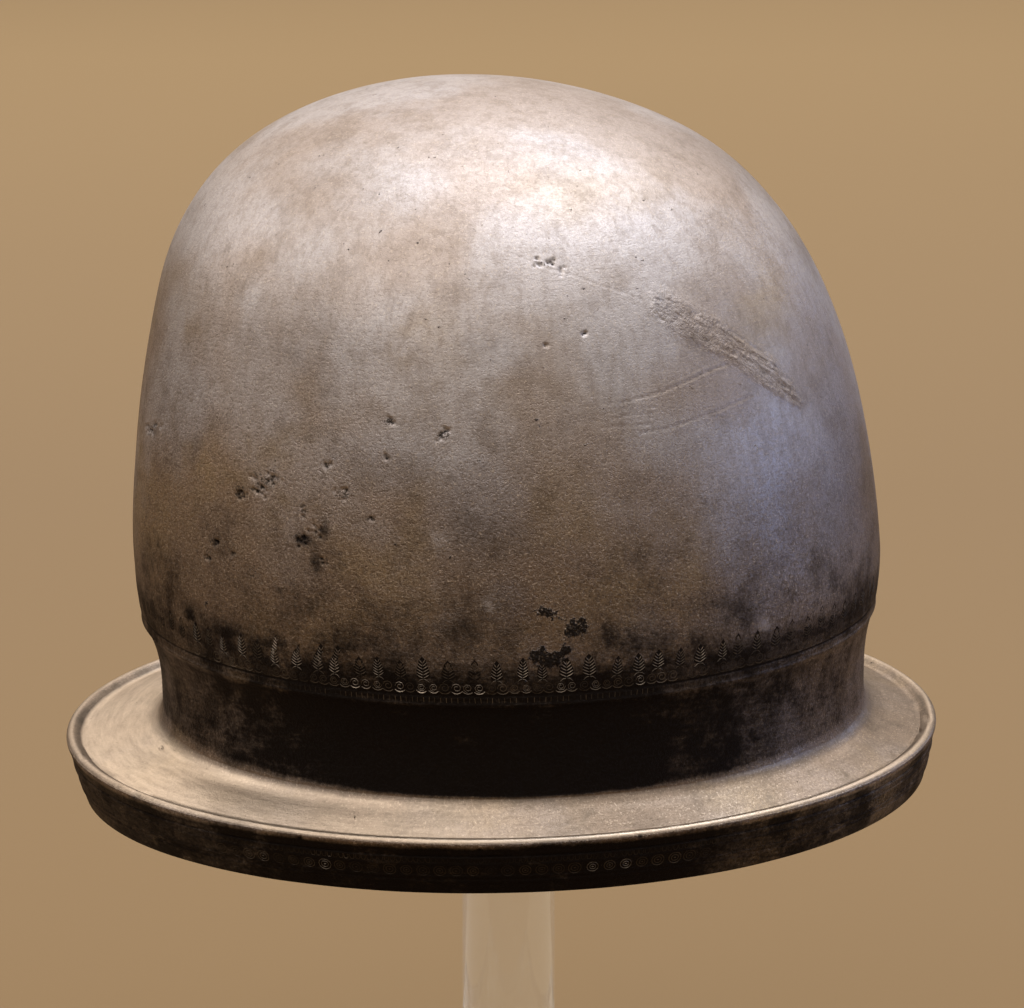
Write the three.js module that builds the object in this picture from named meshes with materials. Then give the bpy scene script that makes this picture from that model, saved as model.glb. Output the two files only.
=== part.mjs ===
// An Etruscan bronze helmet of the bowler-hat kind, on a clear acrylic stand.
// Millimetres, +Z up. The helmet faces -X. The origin is under the middle of the
// brim, on the surface that the stand's base rests on.
import * as THREE from 'three';
import { mergeVertices } from 'three/addons/utils/BufferGeometryUtils.js';

// Dome, measured outside. Its widest level lies a little above its lower edge.
const DOME_LENGTH = 218.9;
const DOME_WIDTH = 203;
const DOME_HEIGHT = 139.5;
const CROWN_FORWARD = 11.8;
const DOME_FOOT_HEIGHT = 15.7;
const DOME_FOOT_INSET = 1.5;

// Neck: the hollow band under the dome, set in from the dome's lower edge.
const NECK_HEIGHT = 35.4;
const NECK_INSET_FRONT = 5.0;
const NECK_INSET_BACK = 3.3;
const NECK_INSET_SIDE = 2.4;
const NECK_FILLET_FRONT = 7.5;
const NECK_FILLET_BACK = 7.5;
const NECK_FILLET_SIDE = 2.2;

// Brim: its reach from the neck to the top of the lip, and how much it falls outwards,
// which is steepest at the sides, where it is narrow.
const BRIM_REACH_FRONT = 27.4;
const BRIM_REACH_BACK = 19.9;
const BRIM_REACH_SIDE = 10.6;
const BRIM_FALL_FRONT = 4.0;
const BRIM_FALL_BACK = 4.0;
const BRIM_FALL_SIDE = 8.6;

// Lip: a round bead on the brim's edge, standing above the plate.
const LIP_RADIUS = 1.6;
const LIP_STEP = 1.9;
const LIP_SLOPE = 3.2;

// Rim: the band that turns down from the lip and leans in towards its foot.
const RIM_HEIGHT_FRONT = 18.7;
const RIM_HEIGHT_BACK = 16.8;
const RIM_HEIGHT_SIDE = 17.9;
const RIM_LEAN_FRONT = 5.0;
const RIM_LEAN_BACK = 3.4;
const RIM_LEAN_SIDE = 6.0;
const RIM_BOW = 1.2;
const RIM_EDGE_BEVEL = 0.7;
const GROOVE_DROP = 5.4;
const GROOVE_WIDTH = 1.4;
const GROOVE_DEPTH = 0.6;

// Thickness of the bronze.
const WALL = 1.6;
const RIM_WALL = 3.2;

// The helmet sits with its back a little higher than its front.
const SIT_TILT_DEG = 1.1;

// Clear acrylic stand: a round post whose broad head carries the crown, on a base.
const POST_DIAMETER = 28;
const POST_BEHIND_MIDDLE = 2.2;
const HEAD_DIAMETER = 64;
const HEAD_EDGE = 5;
const HEAD_FLARE = 12;
const HEAD_TOP_RADIUS = 105;
const RIM_ABOVE_BASE = 112;
const BASE_SIDE = 160;
const BASE_THICKNESS = 18;
const BASE_CORNER_RADIUS = 6;
const JOINT_GAP = 0.3;

// Fineness of the surfaces.
const AROUND = 80;
const POST_AROUND = 40;

// How much fuller the dome is than a plain ellipse, from its widest level (angle 0) to
// the crown (angle 90).
const FULLNESS = [
  { angle: 0, front: 1.0, back: 1.0, side: 1.0 },
  { angle: 15, front: 0.988, back: 1.025, side: 1.006 },
  { angle: 30, front: 1.014, back: 1.081, side: 1.045 },
  { angle: 45, front: 1.095, back: 1.162, side: 1.125 },
  { angle: 60, front: 1.184, back: 1.253, side: 1.215 },
  { angle: 75, front: 1.251, back: 1.279, side: 1.265 },
  { angle: 90, front: 1.332, back: 1.32, side: 1.325 },
];

// Sampling of the profile: angles up the dome, and shares of the foot and of the neck.
const OUTSIDE = {
  dome: [87, 82, 76, 70, 63, 56, 49, 42, 35, 28, 21, 14, 7, 0],
  foot: [0.7, 0.35, 0],
  neck: [0.84, 0.68, 0.5, 0.3],
  fillet: 4,
};
const INSIDE = {
  dome: [84, 77, 69, 60, 50, 40, 30, 20, 10, 0],
  foot: [0.5, 0],
  neck: [0.75, 0.45],
  fillet: 3,
};
const NECK_FLARE_POWER = 3;
const SHORT_BRIM_FILLET = 0.55;
const BEAD_TURNS = [120, 90, 60, 30, 0, -30];

const rad = THREE.MathUtils.degToRad;
const lerp = THREE.MathUtils.lerp;

// Three outlines shape every section: the front's, the back's and a side's.
const OUTLINES = {
  front: {
    reach: DOME_LENGTH / 2,
    neckInset: NECK_INSET_FRONT,
    neckFillet: NECK_FILLET_FRONT,
    brimReach: BRIM_REACH_FRONT,
    brimFall: BRIM_FALL_FRONT,
    rimHeight: RIM_HEIGHT_FRONT,
    rimLean: RIM_LEAN_FRONT,
  },
  back: {
    reach: DOME_LENGTH / 2,
    neckInset: NECK_INSET_BACK,
    neckFillet: NECK_FILLET_BACK,
    brimReach: BRIM_REACH_BACK,
    brimFall: BRIM_FALL_BACK,
    rimHeight: RIM_HEIGHT_BACK,
    rimLean: RIM_LEAN_BACK,
  },
  side: {
    reach: DOME_WIDTH / 2,
    neckInset: NECK_INSET_SIDE,
    neckFillet: NECK_FILLET_SIDE,
    brimReach: BRIM_REACH_SIDE,
    brimFall: BRIM_FALL_SIDE,
    rimHeight: RIM_HEIGHT_SIDE,
    rimLean: RIM_LEAN_SIDE,
  },
};

function neckRadius(name) {
  return OUTLINES[name].reach - DOME_FOOT_INSET - OUTLINES[name].neckInset;
}

function lipRadius(name) {
  return neckRadius(name) + OUTLINES[name].brimReach;
}

// The dome's fullness at any angle: a Catmull-Rom curve through the table's column.
function fullnessAt(name, angle) {
  const curve = new THREE.SplineCurve(
    FULLNESS.map((row) => new THREE.Vector2(row.angle, row[name])),
  );
  return curve.getPoint(angle / FULLNESS.at(-1).angle).y;
}

// A point of an outline is its distance from the axis (x) and its height above the top of
// the lip (y). The dome's axis leans forwards by a shift that grows with the height.
function domePoint(name, angle) {
  const distance = OUTLINES[name].reach * Math.cos(rad(angle)) * fullnessAt(name, angle);
  const height = NECK_HEIGHT + DOME_FOOT_HEIGHT + DOME_HEIGHT * Math.sin(rad(angle));
  return new THREE.Vector2(distance, height);
}

function footPoint(name, share) {
  const swell = DOME_FOOT_INSET * Math.sin((share * Math.PI) / 2);
  const foot = OUTLINES[name].reach - DOME_FOOT_INSET;
  return new THREE.Vector2(foot + swell, NECK_HEIGHT + DOME_FOOT_HEIGHT * share);
}

// The plate would meet the neck at this height, but for the fillet between them.
function plateTop(name) {
  return OUTLINES[name].brimFall - LIP_STEP;
}

function neckPoint(name, share) {
  const flare = OUTLINES[name].neckInset * share ** NECK_FLARE_POWER;
  const foot = plateTop(name) + OUTLINES[name].neckFillet;
  return new THREE.Vector2(neckRadius(name) + flare, lerp(foot, NECK_HEIGHT, share));
}

function filletPoints(name, steps) {
  const { neckFillet, brimReach, brimFall } = OUTLINES[name];
  const plateWidth = brimReach - LIP_SLOPE;
  const width = Math.min(neckFillet, plateWidth * SHORT_BRIM_FILLET);
  const neck = neckRadius(name);
  const top = plateTop(name);
  const curve = new THREE.QuadraticBezierCurve(
    new THREE.Vector2(neck, top + neckFillet),
    new THREE.Vector2(neck, top),
    new THREE.Vector2(neck + width, top - (brimFall * width) / plateWidth),
  );
  return curve.getPoints(steps);
}

// One outline from the crown down to the edge of the brim's plate, with the forward
// shift of the axis at each point.
function wallOutline(name, samples) {
  const plateEdge = new THREE.Vector2(lipRadius(name) - LIP_SLOPE, -LIP_STEP);
  const lean = samples.dome.map((angle) => CROWN_FORWARD * Math.sin(rad(angle)));
  const points = [
    ...samples.dome.map((angle) => domePoint(name, angle)),
    ...samples.foot.map((share) => footPoint(name, share)),
    ...samples.neck.map((share) => neckPoint(name, share)),
    ...filletPoints(name, samples.fillet),
    plateEdge,
  ];
  return { points, shifts: points.map((_, i) => lean[i] ?? 0) };
}

// The same outline moved into the bronze by the wall's thickness.
function insetOutline({ points, shifts }) {
  const moved = points.map((point, i) => {
    const before = points[Math.max(i - 1, 0)];
    const after = points[Math.min(i + 1, points.length - 1)];
    const along = after.clone().sub(before).normalize();
    return new THREE.Vector2(point.x + along.y * WALL, point.y - along.x * WALL);
  });
  return { points: moved, shifts };
}

// The lip's bead, the groove under it and the rim's outer face, down to its foot.
function rimOutline(name) {
  const crest = lipRadius(name);
  const { rimLean, rimHeight } = OUTLINES[name];
  const face = (drop) => crest + LIP_RADIUS - rimLean * (drop / rimHeight) ** RIM_BOW;
  const bead = BEAD_TURNS.map((turn) => new THREE.Vector2(
    crest + LIP_RADIUS * Math.cos(rad(turn)),
    LIP_RADIUS * (Math.sin(rad(turn)) - 1),
  ));
  const faceRows = [
    { drop: GROOVE_DROP - GROOVE_WIDTH / 2, cut: 0 },
    { drop: GROOVE_DROP, cut: GROOVE_DEPTH },
    { drop: GROOVE_DROP + GROOVE_WIDTH / 2, cut: 0 },
    { drop: rimHeight - RIM_EDGE_BEVEL, cut: 0 },
    { drop: rimHeight, cut: RIM_EDGE_BEVEL },
  ];
  return [
    ...bead,
    ...faceRows.map(({ drop, cut }) => new THREE.Vector2(face(drop) - cut, -drop)),
    new THREE.Vector2(face(rimHeight) - RIM_WALL, -rimHeight),
    new THREE.Vector2(crest + LIP_RADIUS - RIM_WALL, -LIP_STEP - WALL),
  ];
}

// The whole section of the bronze: down the outside, round the rim and up the inside.
function sectionOf(name) {
  const outside = wallOutline(name, OUTSIDE);
  const inside = insetOutline(wallOutline(name, INSIDE));
  const rim = rimOutline(name);
  return {
    points: [...outside.points, ...rim, ...inside.points.reverse()],
    shifts: [...outside.shifts, ...rim.map(() => 0), ...inside.shifts.reverse()],
  };
}

// A closed surface through rings of points, with a point at each end.
function ringedGeometry(rings, firstPole, lastPole) {
  const positions = [firstPole, ...rings.flat(), lastPole].flatMap((p) => p.toArray());
  const last = 1 + rings.length * AROUND;
  const at = (ring, k) => 1 + ring * AROUND + (k % AROUND);
  const index = [];
  for (let k = 0; k < AROUND; k += 1) {
    index.push(0, at(0, k), at(0, k + 1));
    for (let ring = 0; ring < rings.length - 1; ring += 1) {
      index.push(at(ring, k), at(ring + 1, k), at(ring + 1, k + 1));
      index.push(at(ring, k), at(ring + 1, k + 1), at(ring, k + 1));
    }
    index.push(at(rings.length - 1, k), last, at(rings.length - 1, k + 1));
  }
  const geometry = new THREE.BufferGeometry();
  geometry.setAttribute('position', new THREE.Float32BufferAttribute(positions, 3));
  geometry.setIndex(index);
  geometry.computeVertexNormals();
  return geometry;
}

// Each ring blends the three outlines: an ellipse from front to back, with the side's
// width, whose height follows the outlines round.
function helmetShell() {
  const front = sectionOf('front');
  const back = sectionOf('back');
  const side = sectionOf('side');
  const rings = front.points.map((frontPoint, i) => {
    const backPoint = back.points[i];
    const sidePoint = side.points[i];
    const middle = (backPoint.x - frontPoint.x) / 2 - front.shifts[i];
    const halfLength = (backPoint.x + frontPoint.x) / 2;
    return Array.from({ length: AROUND }, (_, k) => {
      const turn = (2 * Math.PI * k) / AROUND;
      const end = Math.cos(turn) < 0 ? frontPoint : backPoint;
      return new THREE.Vector3(
        middle + halfLength * Math.cos(turn),
        sidePoint.x * Math.sin(turn),
        lerp(sidePoint.y, end.y, Math.cos(turn) ** 2),
      );
    });
  });
  const crown = NECK_HEIGHT + DOME_FOOT_HEIGHT + DOME_HEIGHT;
  return ringedGeometry(
    rings,
    new THREE.Vector3(-CROWN_FORWARD, 0, crown),
    new THREE.Vector3(-CROWN_FORWARD, 0, crown - WALL),
  );
}

const bronze = new THREE.MeshStandardMaterial({
  name: 'bronze',
  color: 0x5e4a38,
  roughness: 0.42,
  metalness: 0.9,
});
const acrylic = new THREE.MeshStandardMaterial({
  name: 'acrylic',
  color: 0xe4e9e6,
  roughness: 0.06,
  metalness: 0,
  transparent: true,
  opacity: 0.4,
});

const helmet = new THREE.Mesh(helmetShell(), bronze);
helmet.name = 'helmet_shell';
// The middle of the brim stands over the origin.
const brimMiddle = (lipRadius('back') - lipRadius('front')) / 2;
helmet.geometry.translate(-brimMiddle, 0, 0);
helmet.position.z = BASE_THICKNESS + RIM_ABOVE_BASE + RIM_HEIGHT_SIDE;
helmet.rotation.y = -rad(SIT_TILT_DEG);
helmet.updateMatrixWorld();

// How far the head's rounded top has fallen at a distance from its middle.
function headDrop(distance) {
  return HEAD_TOP_RADIUS - Math.sqrt(HEAD_TOP_RADIUS ** 2 - distance ** 2);
}

// The highest place for the head's top that keeps it clear of the crown's inside.
function headTop() {
  const crownInside = [];
  const corner = new THREE.Vector3();
  const corners = helmet.geometry.getAttribute('position');
  const firstInside = corners.count - 1 - INSIDE.dome.length * AROUND;
  for (let i = firstInside; i < corners.count; i += 1) {
    corner.fromBufferAttribute(corners, i).applyMatrix4(helmet.matrixWorld);
    const distance = Math.hypot(corner.x - POST_BEHIND_MIDDLE, corner.y);
    if (distance < HEAD_DIAMETER) {
      const reach = Math.min(distance, HEAD_DIAMETER / 2);
      crownInside.push(corner.z + headDrop(reach));
    }
  }
  return Math.min(...crownInside) - JOINT_GAP;
}

// The post and its head are turned from one piece.
function standPost() {
  const foot = BASE_THICKNESS + JOINT_GAP;
  const top = headTop();
  const radius = POST_DIAMETER / 2;
  const headRadius = HEAD_DIAMETER / 2;
  const shoulder = top - headDrop(headRadius);
  const flare = new THREE.QuadraticBezierCurve(
    new THREE.Vector2(radius, shoulder - HEAD_EDGE - HEAD_FLARE),
    new THREE.Vector2(radius, shoulder - HEAD_EDGE),
    new THREE.Vector2(headRadius, shoulder - HEAD_EDGE),
  );
  const crownShares = [1, 0.8, 0.6, 0.4, 0.2, 0];
  const profile = [
    new THREE.Vector2(0, foot),
    new THREE.Vector2(radius, foot),
    ...flare.getPoints(5),
    ...crownShares.map((share) => new THREE.Vector2(
      headRadius * share,
      top - headDrop(headRadius * share),
    )),
  ];
  const geometry = new THREE.LatheGeometry(profile, POST_AROUND);
  geometry.rotateX(Math.PI / 2);
  return geometry;
}

function standBase() {
  const half = BASE_SIDE / 2;
  const straight = half - BASE_CORNER_RADIUS;
  const outline = new THREE.Shape();
  outline.absarc(straight, straight, BASE_CORNER_RADIUS, 0, Math.PI / 2);
  outline.absarc(-straight, straight, BASE_CORNER_RADIUS, Math.PI / 2, Math.PI);
  outline.absarc(-straight, -straight, BASE_CORNER_RADIUS, Math.PI, 1.5 * Math.PI);
  outline.absarc(straight, -straight, BASE_CORNER_RADIUS, 1.5 * Math.PI, 2 * Math.PI);
  return new THREE.ExtrudeGeometry(outline, {
    depth: BASE_THICKNESS,
    bevelEnabled: false,
    curveSegments: 6,
  });
}

// Keep positions only, so that a turned or extruded surface closes at its seams.
function sewn(geometry) {
  geometry.deleteAttribute('normal');
  geometry.deleteAttribute('uv');
  const closed = mergeVertices(geometry, 1e-4);
  closed.computeVertexNormals();
  return closed;
}

const post = new THREE.Mesh(sewn(standPost()), acrylic);
post.name = 'stand_post';
post.position.x = POST_BEHIND_MIDDLE;

const base = new THREE.Mesh(sewn(standBase()), acrylic);
base.name = 'stand_base';

const helmetOnStand = new THREE.Group();
helmetOnStand.add(helmet, post, base);

export default helmetOnStand;
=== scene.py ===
import math

import bmesh
import bpy
import numpy as np
from mathutils import Matrix, Vector, noise


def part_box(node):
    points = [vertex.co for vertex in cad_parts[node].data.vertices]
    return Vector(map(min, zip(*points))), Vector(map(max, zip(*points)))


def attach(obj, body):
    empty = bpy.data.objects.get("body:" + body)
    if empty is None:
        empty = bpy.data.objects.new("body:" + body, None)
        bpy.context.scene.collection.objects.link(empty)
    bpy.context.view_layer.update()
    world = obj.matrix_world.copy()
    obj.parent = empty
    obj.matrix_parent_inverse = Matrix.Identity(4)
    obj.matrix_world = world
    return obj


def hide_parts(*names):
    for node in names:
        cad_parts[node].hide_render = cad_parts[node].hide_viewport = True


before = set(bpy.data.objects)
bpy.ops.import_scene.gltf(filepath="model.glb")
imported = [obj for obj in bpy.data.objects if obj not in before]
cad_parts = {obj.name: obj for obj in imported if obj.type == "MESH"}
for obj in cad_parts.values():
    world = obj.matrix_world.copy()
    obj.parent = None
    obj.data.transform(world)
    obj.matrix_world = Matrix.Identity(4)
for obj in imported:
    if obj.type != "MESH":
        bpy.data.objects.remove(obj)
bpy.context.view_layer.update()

# The camera. A long lens, a little above the brim and square to the helmet's side, as the
# photo was taken. Marks that the photo shows are placed by the pixel where they show.
MM = 0.001
PHOTO_SIZE = (1024, 1008)
FOCAL_PIXELS = 4360
AIM_POINT = Vector((0, 0, 144.8 * MM))
AIM_PIXEL = (500.5, 723.5)
CAMERA_AWAY = 1300 * MM
CAMERA_RISE = math.radians(18.5)

camera_data = bpy.data.cameras.new("photo_camera")
camera_data.sensor_width = 36
camera_data.lens = FOCAL_PIXELS / PHOTO_SIZE[0] * camera_data.sensor_width
camera = bpy.data.objects.new("photo_camera", camera_data)
bpy.context.scene.collection.objects.link(camera)
bpy.context.scene.camera = camera
camera_back = Vector((0, -math.cos(CAMERA_RISE), math.sin(CAMERA_RISE)))
camera.location = AIM_POINT + camera_back * CAMERA_AWAY
camera.rotation_euler = (
    math.pi / 2 - CAMERA_RISE + math.atan((AIM_PIXEL[1] - PHOTO_SIZE[1] / 2) / FOCAL_PIXELS),
    0,
    math.atan((AIM_PIXEL[0] - PHOTO_SIZE[0] / 2) / FOCAL_PIXELS),
)


def photo_pixels(points):
    """Where points (rows of x, y, z in metres) show in the photo, as columns x and y."""
    turn = np.array(camera.rotation_euler.to_matrix())
    seen = (points - np.array(camera.location)) @ turn
    across = PHOTO_SIZE[0] / 2 - FOCAL_PIXELS * seen[:, 0] / seen[:, 2]
    down = PHOTO_SIZE[1] / 2 + FOCAL_PIXELS * seen[:, 1] / seen[:, 2]
    return across, down


# The helmet: one wall of bronze, raised from a disc by hammering and then smoothed. The
# brim's edge turns up into a round lip and down into a thicker rim. Its lines are raised
# from the same metal. Three outlines, of the front, the back and a side, shape each ring.
DOME_HEIGHT = 139.5
CROWN_FORWARD = 11.8
FOOT_HEIGHT = 15.7
FOOT_INSET = 1.5
NECK_HEIGHT = 35.4
NECK_FLARE = 3
LIP_RADIUS = 1.6
LIP_STEP = 1.9
LIP_SLOPE = 3.2
LIP_TOP = 147.9
RIM_BOW = 1.2
RIM_BEVEL = 0.7
RIM_WALL = 3.2
WALL = 1.6
SIT_TILT = math.radians(1.1)
OUTLINES = {
    "front": {
        "reach": 109.45, "inset": 5.0, "brim": 27.4, "fall": 4.0, "fillet": 7.5,
        "rim": 18.7, "lean": 5.0,
    },
    "back": {
        "reach": 109.45, "inset": 3.3, "brim": 19.9, "fall": 4.0, "fillet": 7.5,
        "rim": 16.8, "lean": 3.4,
    },
    "side": {
        "reach": 101.5, "inset": 2.4, "brim": 10.6, "fall": 8.6, "fillet": 2.2,
        "rim": 17.9, "lean": 6.0,
    },
}
FULLNESS = {
    "front": (1.0, 0.988, 1.014, 1.095, 1.184, 1.251, 1.332),
    "back": (1.0, 1.025, 1.081, 1.162, 1.253, 1.279, 1.32),
    "side": (1.0, 1.006, 1.045, 1.125, 1.215, 1.265, 1.325),
}
AROUND = 300
INSIDE_EVERY = 6
FRIEZE_LINE = 3.0
RIM_GROOVE = 5.2
RIM_LINES = (8.0, 11.9, 13.6)
LINE_PROUD = 0.25
LINE_HALF = 0.45


def fullness(name, angle):
    """How much fuller the dome is than a plain ellipse at an angle up from its widest level."""
    table = np.array(FULLNESS[name])
    at = np.clip(angle / 90, 0, 1) * (len(table) - 1)
    low = np.minimum(at.astype(int), len(table) - 2)
    part = at - low
    before = table[np.maximum(low - 1, 0)]
    here = table[low]
    there = table[low + 1]
    after = table[np.minimum(low + 2, len(table) - 1)]
    lean_here = (there - before) / 2
    lean_there = (after - here) / 2
    return (
        (2 * here - 2 * there + lean_here + lean_there) * part ** 3
        + (3 * there - 3 * here - 2 * lean_here - lean_there) * part ** 2
        + lean_here * part + here
    )


def line_rows(heights, start, stop, step):
    """Rows from start to stop, closer together where a raised line needs them."""
    rows = set(np.round(np.arange(start, stop, step), 3)) | {stop}
    for height in heights:
        rows = {row for row in rows if abs(row - height) > LINE_HALF + 0.1}
        rows |= {height - LINE_HALF, height, height + LINE_HALF}
    return np.array(sorted(rows))


def line_rise(heights, rows):
    """How far a raised line lifts each row, in millimetres."""
    near = np.min([abs(rows - height) for height in heights], axis=0)
    return LINE_PROUD * np.clip(1 - near / LINE_HALF, 0, 1)


def wall_outline(name):
    """The outside from the crown to the lip: distance out, height, forward shift, zone."""
    size = OUTLINES[name]
    angles = 90 - 90 * np.linspace(0, 1, 83)[1:]
    turn = np.radians(angles)
    out, up, zone = [], [], []

    def add(kind, distance, height):
        out.append(distance)
        up.append(height)
        zone.append(np.full(len(distance), kind))

    add(0, size["reach"] * np.cos(turn) * fullness(name, angles),
        NECK_HEIGHT + FOOT_HEIGHT + DOME_HEIGHT * np.sin(turn))
    shift = CROWN_FORWARD * np.sin(turn)

    foot = line_rows([FRIEZE_LINE], 0.8, FOOT_HEIGHT - 0.9, 0.9)[::-1]
    swell = FOOT_INSET * np.sin(foot / FOOT_HEIGHT * math.pi / 2)
    add(1, size["reach"] - FOOT_INSET + swell - line_rise([FRIEZE_LINE], foot),
        NECK_HEIGHT + foot)

    corner = np.array([0.5, 0.0, -0.45])
    base = size["reach"] - FOOT_INSET
    add(1, base + np.array([0.2, 0.28, 0.0]), NECK_HEIGHT + corner)

    neck_radius = base - size["inset"]
    plate_top = size["fall"] - LIP_STEP
    fillet_top = plate_top + size["fillet"]
    share = np.linspace(0.94, 0.04, 16)
    add(2, neck_radius + size["inset"] * share ** NECK_FLARE,
        fillet_top + (NECK_HEIGHT - fillet_top) * share)

    plate_width = size["brim"] - LIP_SLOPE
    width = size["fillet"]
    step = np.linspace(0, 1, 9)
    end_up = plate_top - size["fall"] * width / plate_width
    add(3, neck_radius + width * step ** 2,
        fillet_top * (1 - step) ** 2 + plate_top * 2 * step * (1 - step) + end_up * step ** 2)

    step = np.linspace(0, 1, 8)[1:]
    add(4, neck_radius + width + (plate_width - width) * step,
        end_up + (-LIP_STEP - end_up) * step)

    crest = neck_radius + size["brim"]
    turn = np.radians(np.arange(120, -31, -15))
    bead_out = crest + LIP_RADIUS * np.cos(turn)
    bead_up = LIP_RADIUS * (np.sin(turn) - 1)
    slope_out = np.interp([0.35, 0.7], [0, 1], [crest - LIP_SLOPE, bead_out[0]])
    slope_up = np.interp([0.35, 0.7], [0, 1], [-LIP_STEP, bead_up[0]])
    add(5, np.concatenate((slope_out, bead_out)), np.concatenate((slope_up, bead_up)))

    drop = line_rows([RIM_GROOVE, *RIM_LINES], 3.2, 17.6, 0.9) / 17.9 * size["rim"]
    line_at = [line / 17.9 * size["rim"] for line in (RIM_GROOVE, *RIM_LINES)]
    raised = line_rise(line_at[1:], drop) - 2.2 * line_rise(line_at[:1], drop)
    face = crest + LIP_RADIUS - size["lean"] * (drop / size["rim"]) ** RIM_BOW
    add(6, face + raised, -drop)

    foot_out = crest + LIP_RADIUS - size["lean"]
    add(7, foot_out - np.array([RIM_BEVEL * 0.4, RIM_BEVEL, RIM_WALL - 0.4, RIM_WALL]),
        -size["rim"] + np.array([0.25, 0, 0, 0.35]))
    add(8, np.linspace(foot_out - RIM_WALL, crest + LIP_RADIUS - RIM_WALL, 6)[1:],
        np.linspace(-size["rim"] + 0.35, -LIP_STEP - WALL, 6)[1:])

    zone = np.concatenate(zone)
    shifts = np.concatenate((shift, np.zeros(len(zone) - len(angles))))
    return np.concatenate(out), np.concatenate(up), shifts, zone


outlines = {name: wall_outline(name) for name in OUTLINES}
zones = outlines["side"][3]
row_count = len(zones)
plate_rows = [row for row in range(row_count) if zones[row] <= 4]
inside_rows = plate_rows[::-1][::INSIDE_EVERY]
turns = 2 * math.pi * np.arange(AROUND) / AROUND
lip_radius = {
    name: size["reach"] - FOOT_INSET - size["inset"] + size["brim"]
    for name, size in OUTLINES.items()
}
brim_middle = (lip_radius["back"] - lip_radius["front"]) / 2


def ring_points(front, back, side, shift, turn=turns):
    """A ring through the outlines' (distance, height), in metres and in its place."""
    end = np.where(np.cos(turn) < 0, front[1], back[1])
    x = (back[0] - front[0]) / 2 - shift + (back[0] + front[0]) / 2 * np.cos(turn)
    y = side[0] * np.sin(turn)
    z = side[1] + (end - side[1]) * np.cos(turn) ** 2
    x = x - brim_middle
    tilted_x = x * math.cos(SIT_TILT) - z * math.sin(SIT_TILT)
    tilted_z = z * math.cos(SIT_TILT) + x * math.sin(SIT_TILT) + LIP_TOP
    return np.column_stack((tilted_x, y, tilted_z)) * MM


def outline_ring(row, thickness=0.0):
    """The ring of one row, or the same ring moved into the bronze."""
    points = []
    for name in ("front", "back", "side"):
        out, up, _, _ = outlines[name]
        low = max(row - 1, 0)
        high = min(row + 1, plate_rows[-1] if thickness else row_count - 1)
        along = np.array([out[high] - out[low], up[high] - up[low]])
        along /= np.hypot(*along)
        points.append((out[row] + along[1] * thickness, up[row] - along[0] * thickness))
    return ring_points(*points, outlines["side"][2][row])


crown_height = NECK_HEIGHT + FOOT_HEIGHT + DOME_HEIGHT
rings = [outline_ring(row) for row in range(row_count)]
rings += [outline_ring(row, WALL) for row in inside_rows]


def pole(height):
    """The crown's point at a height above the lip."""
    return ring_points(*[(0, height)] * 3, CROWN_FORWARD, np.zeros(1))


points = np.concatenate((pole(crown_height), *rings, pole(crown_height - WALL)))
faces = []
for k in range(AROUND):
    after = (k + 1) % AROUND
    faces.append((0, 1 + k, 1 + after))
    for ring in range(len(rings) - 1):
        low, high = 1 + ring * AROUND, 1 + (ring + 1) * AROUND
        faces.append((low + k, high + k, high + after, low + after))
    last = 1 + (len(rings) - 1) * AROUND
    faces.append((last + k, len(points) - 1, last + after))

shell_mesh = bpy.data.meshes.new("helmet_bronze")
shell_mesh.from_pydata(points.tolist(), [], faces)

# How dark each row is: dark patina deep in the neck and on the rim, worn off the brim; in the neck,
# the crease at its foot and the step inside the lip it is also painted shade.
foot_rise = outlines["side"][1] - NECK_HEIGHT
row_dark = np.interp(foot_rise, (0, 3, 8, 11, 16, 34, 90), (0.85, 0.9, 0.74, 0.5, 0.28, 0.1, 0))
row_dark[zones == 2] = 1.0
row_dark[zones == 3] = (0.95, 0.62, 0.14, 0, 0, 0, 0, 0, 0)
row_dark[zones == 4] = (0, 0, 0, 0, 0, 0, 0.3)
row_dark[zones == 5] = [0.5, 0.25] + [0.0] * 8 + [0.25, 0.4, 0.55]
row_dark[zones == 6] = 0.9
row_dark[zones >= 7] = 0.85
# How bright each row is: pale worn metal on the brim's top and round the lip, which also paints a
# highlight along the lip's crest and over the brim's top.
row_bright = np.zeros(row_count)
row_bright[zones == 3] = (0, 0, 0.08, 0.18, 0.24, 0.28, 0.28, 0.28, 0.28)
row_bright[zones == 4] = 0.28
row_bright[zones == 5] = [0.3, 0.3] + [0.4, 0.6, 0.8, 0.8, 0.6, 0.4, 0.3] + [0] * 4
on_line = line_rise([FRIEZE_LINE], foot_rise) / LINE_PROUD
row_dark[zones == 1] += 0.3 * on_line[zones == 1]


def for_vertices(rows, inside):
    """A value for each vertex, from one for each outer row and one for the inside."""
    inner = np.full(len(inside_rows) * AROUND + 1, inside)
    return np.concatenate(([0], np.repeat(rows, AROUND), inner))


def store(mesh, name, values, kind="FLOAT"):
    """Keeps a value for each vertex under a name."""
    layer = mesh.attributes.get(name) or mesh.attributes.new(name, kind, "POINT")
    slot = "vector" if kind == "FLOAT_VECTOR" else "value"
    values = np.asarray(values, np.int32 if kind == "INT" else np.float32)
    layer.data.foreach_set(slot, values.ravel())


def fetch(mesh, name):
    """Each vertex's kept value."""
    values = np.zeros(len(mesh.vertices), np.float32)
    mesh.attributes[name].data.foreach_get("value", values)
    return values


store(shell_mesh, "dark", for_vertices(row_dark, 0.75))
store(shell_mesh, "bright", for_vertices(row_bright, 0))

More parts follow.
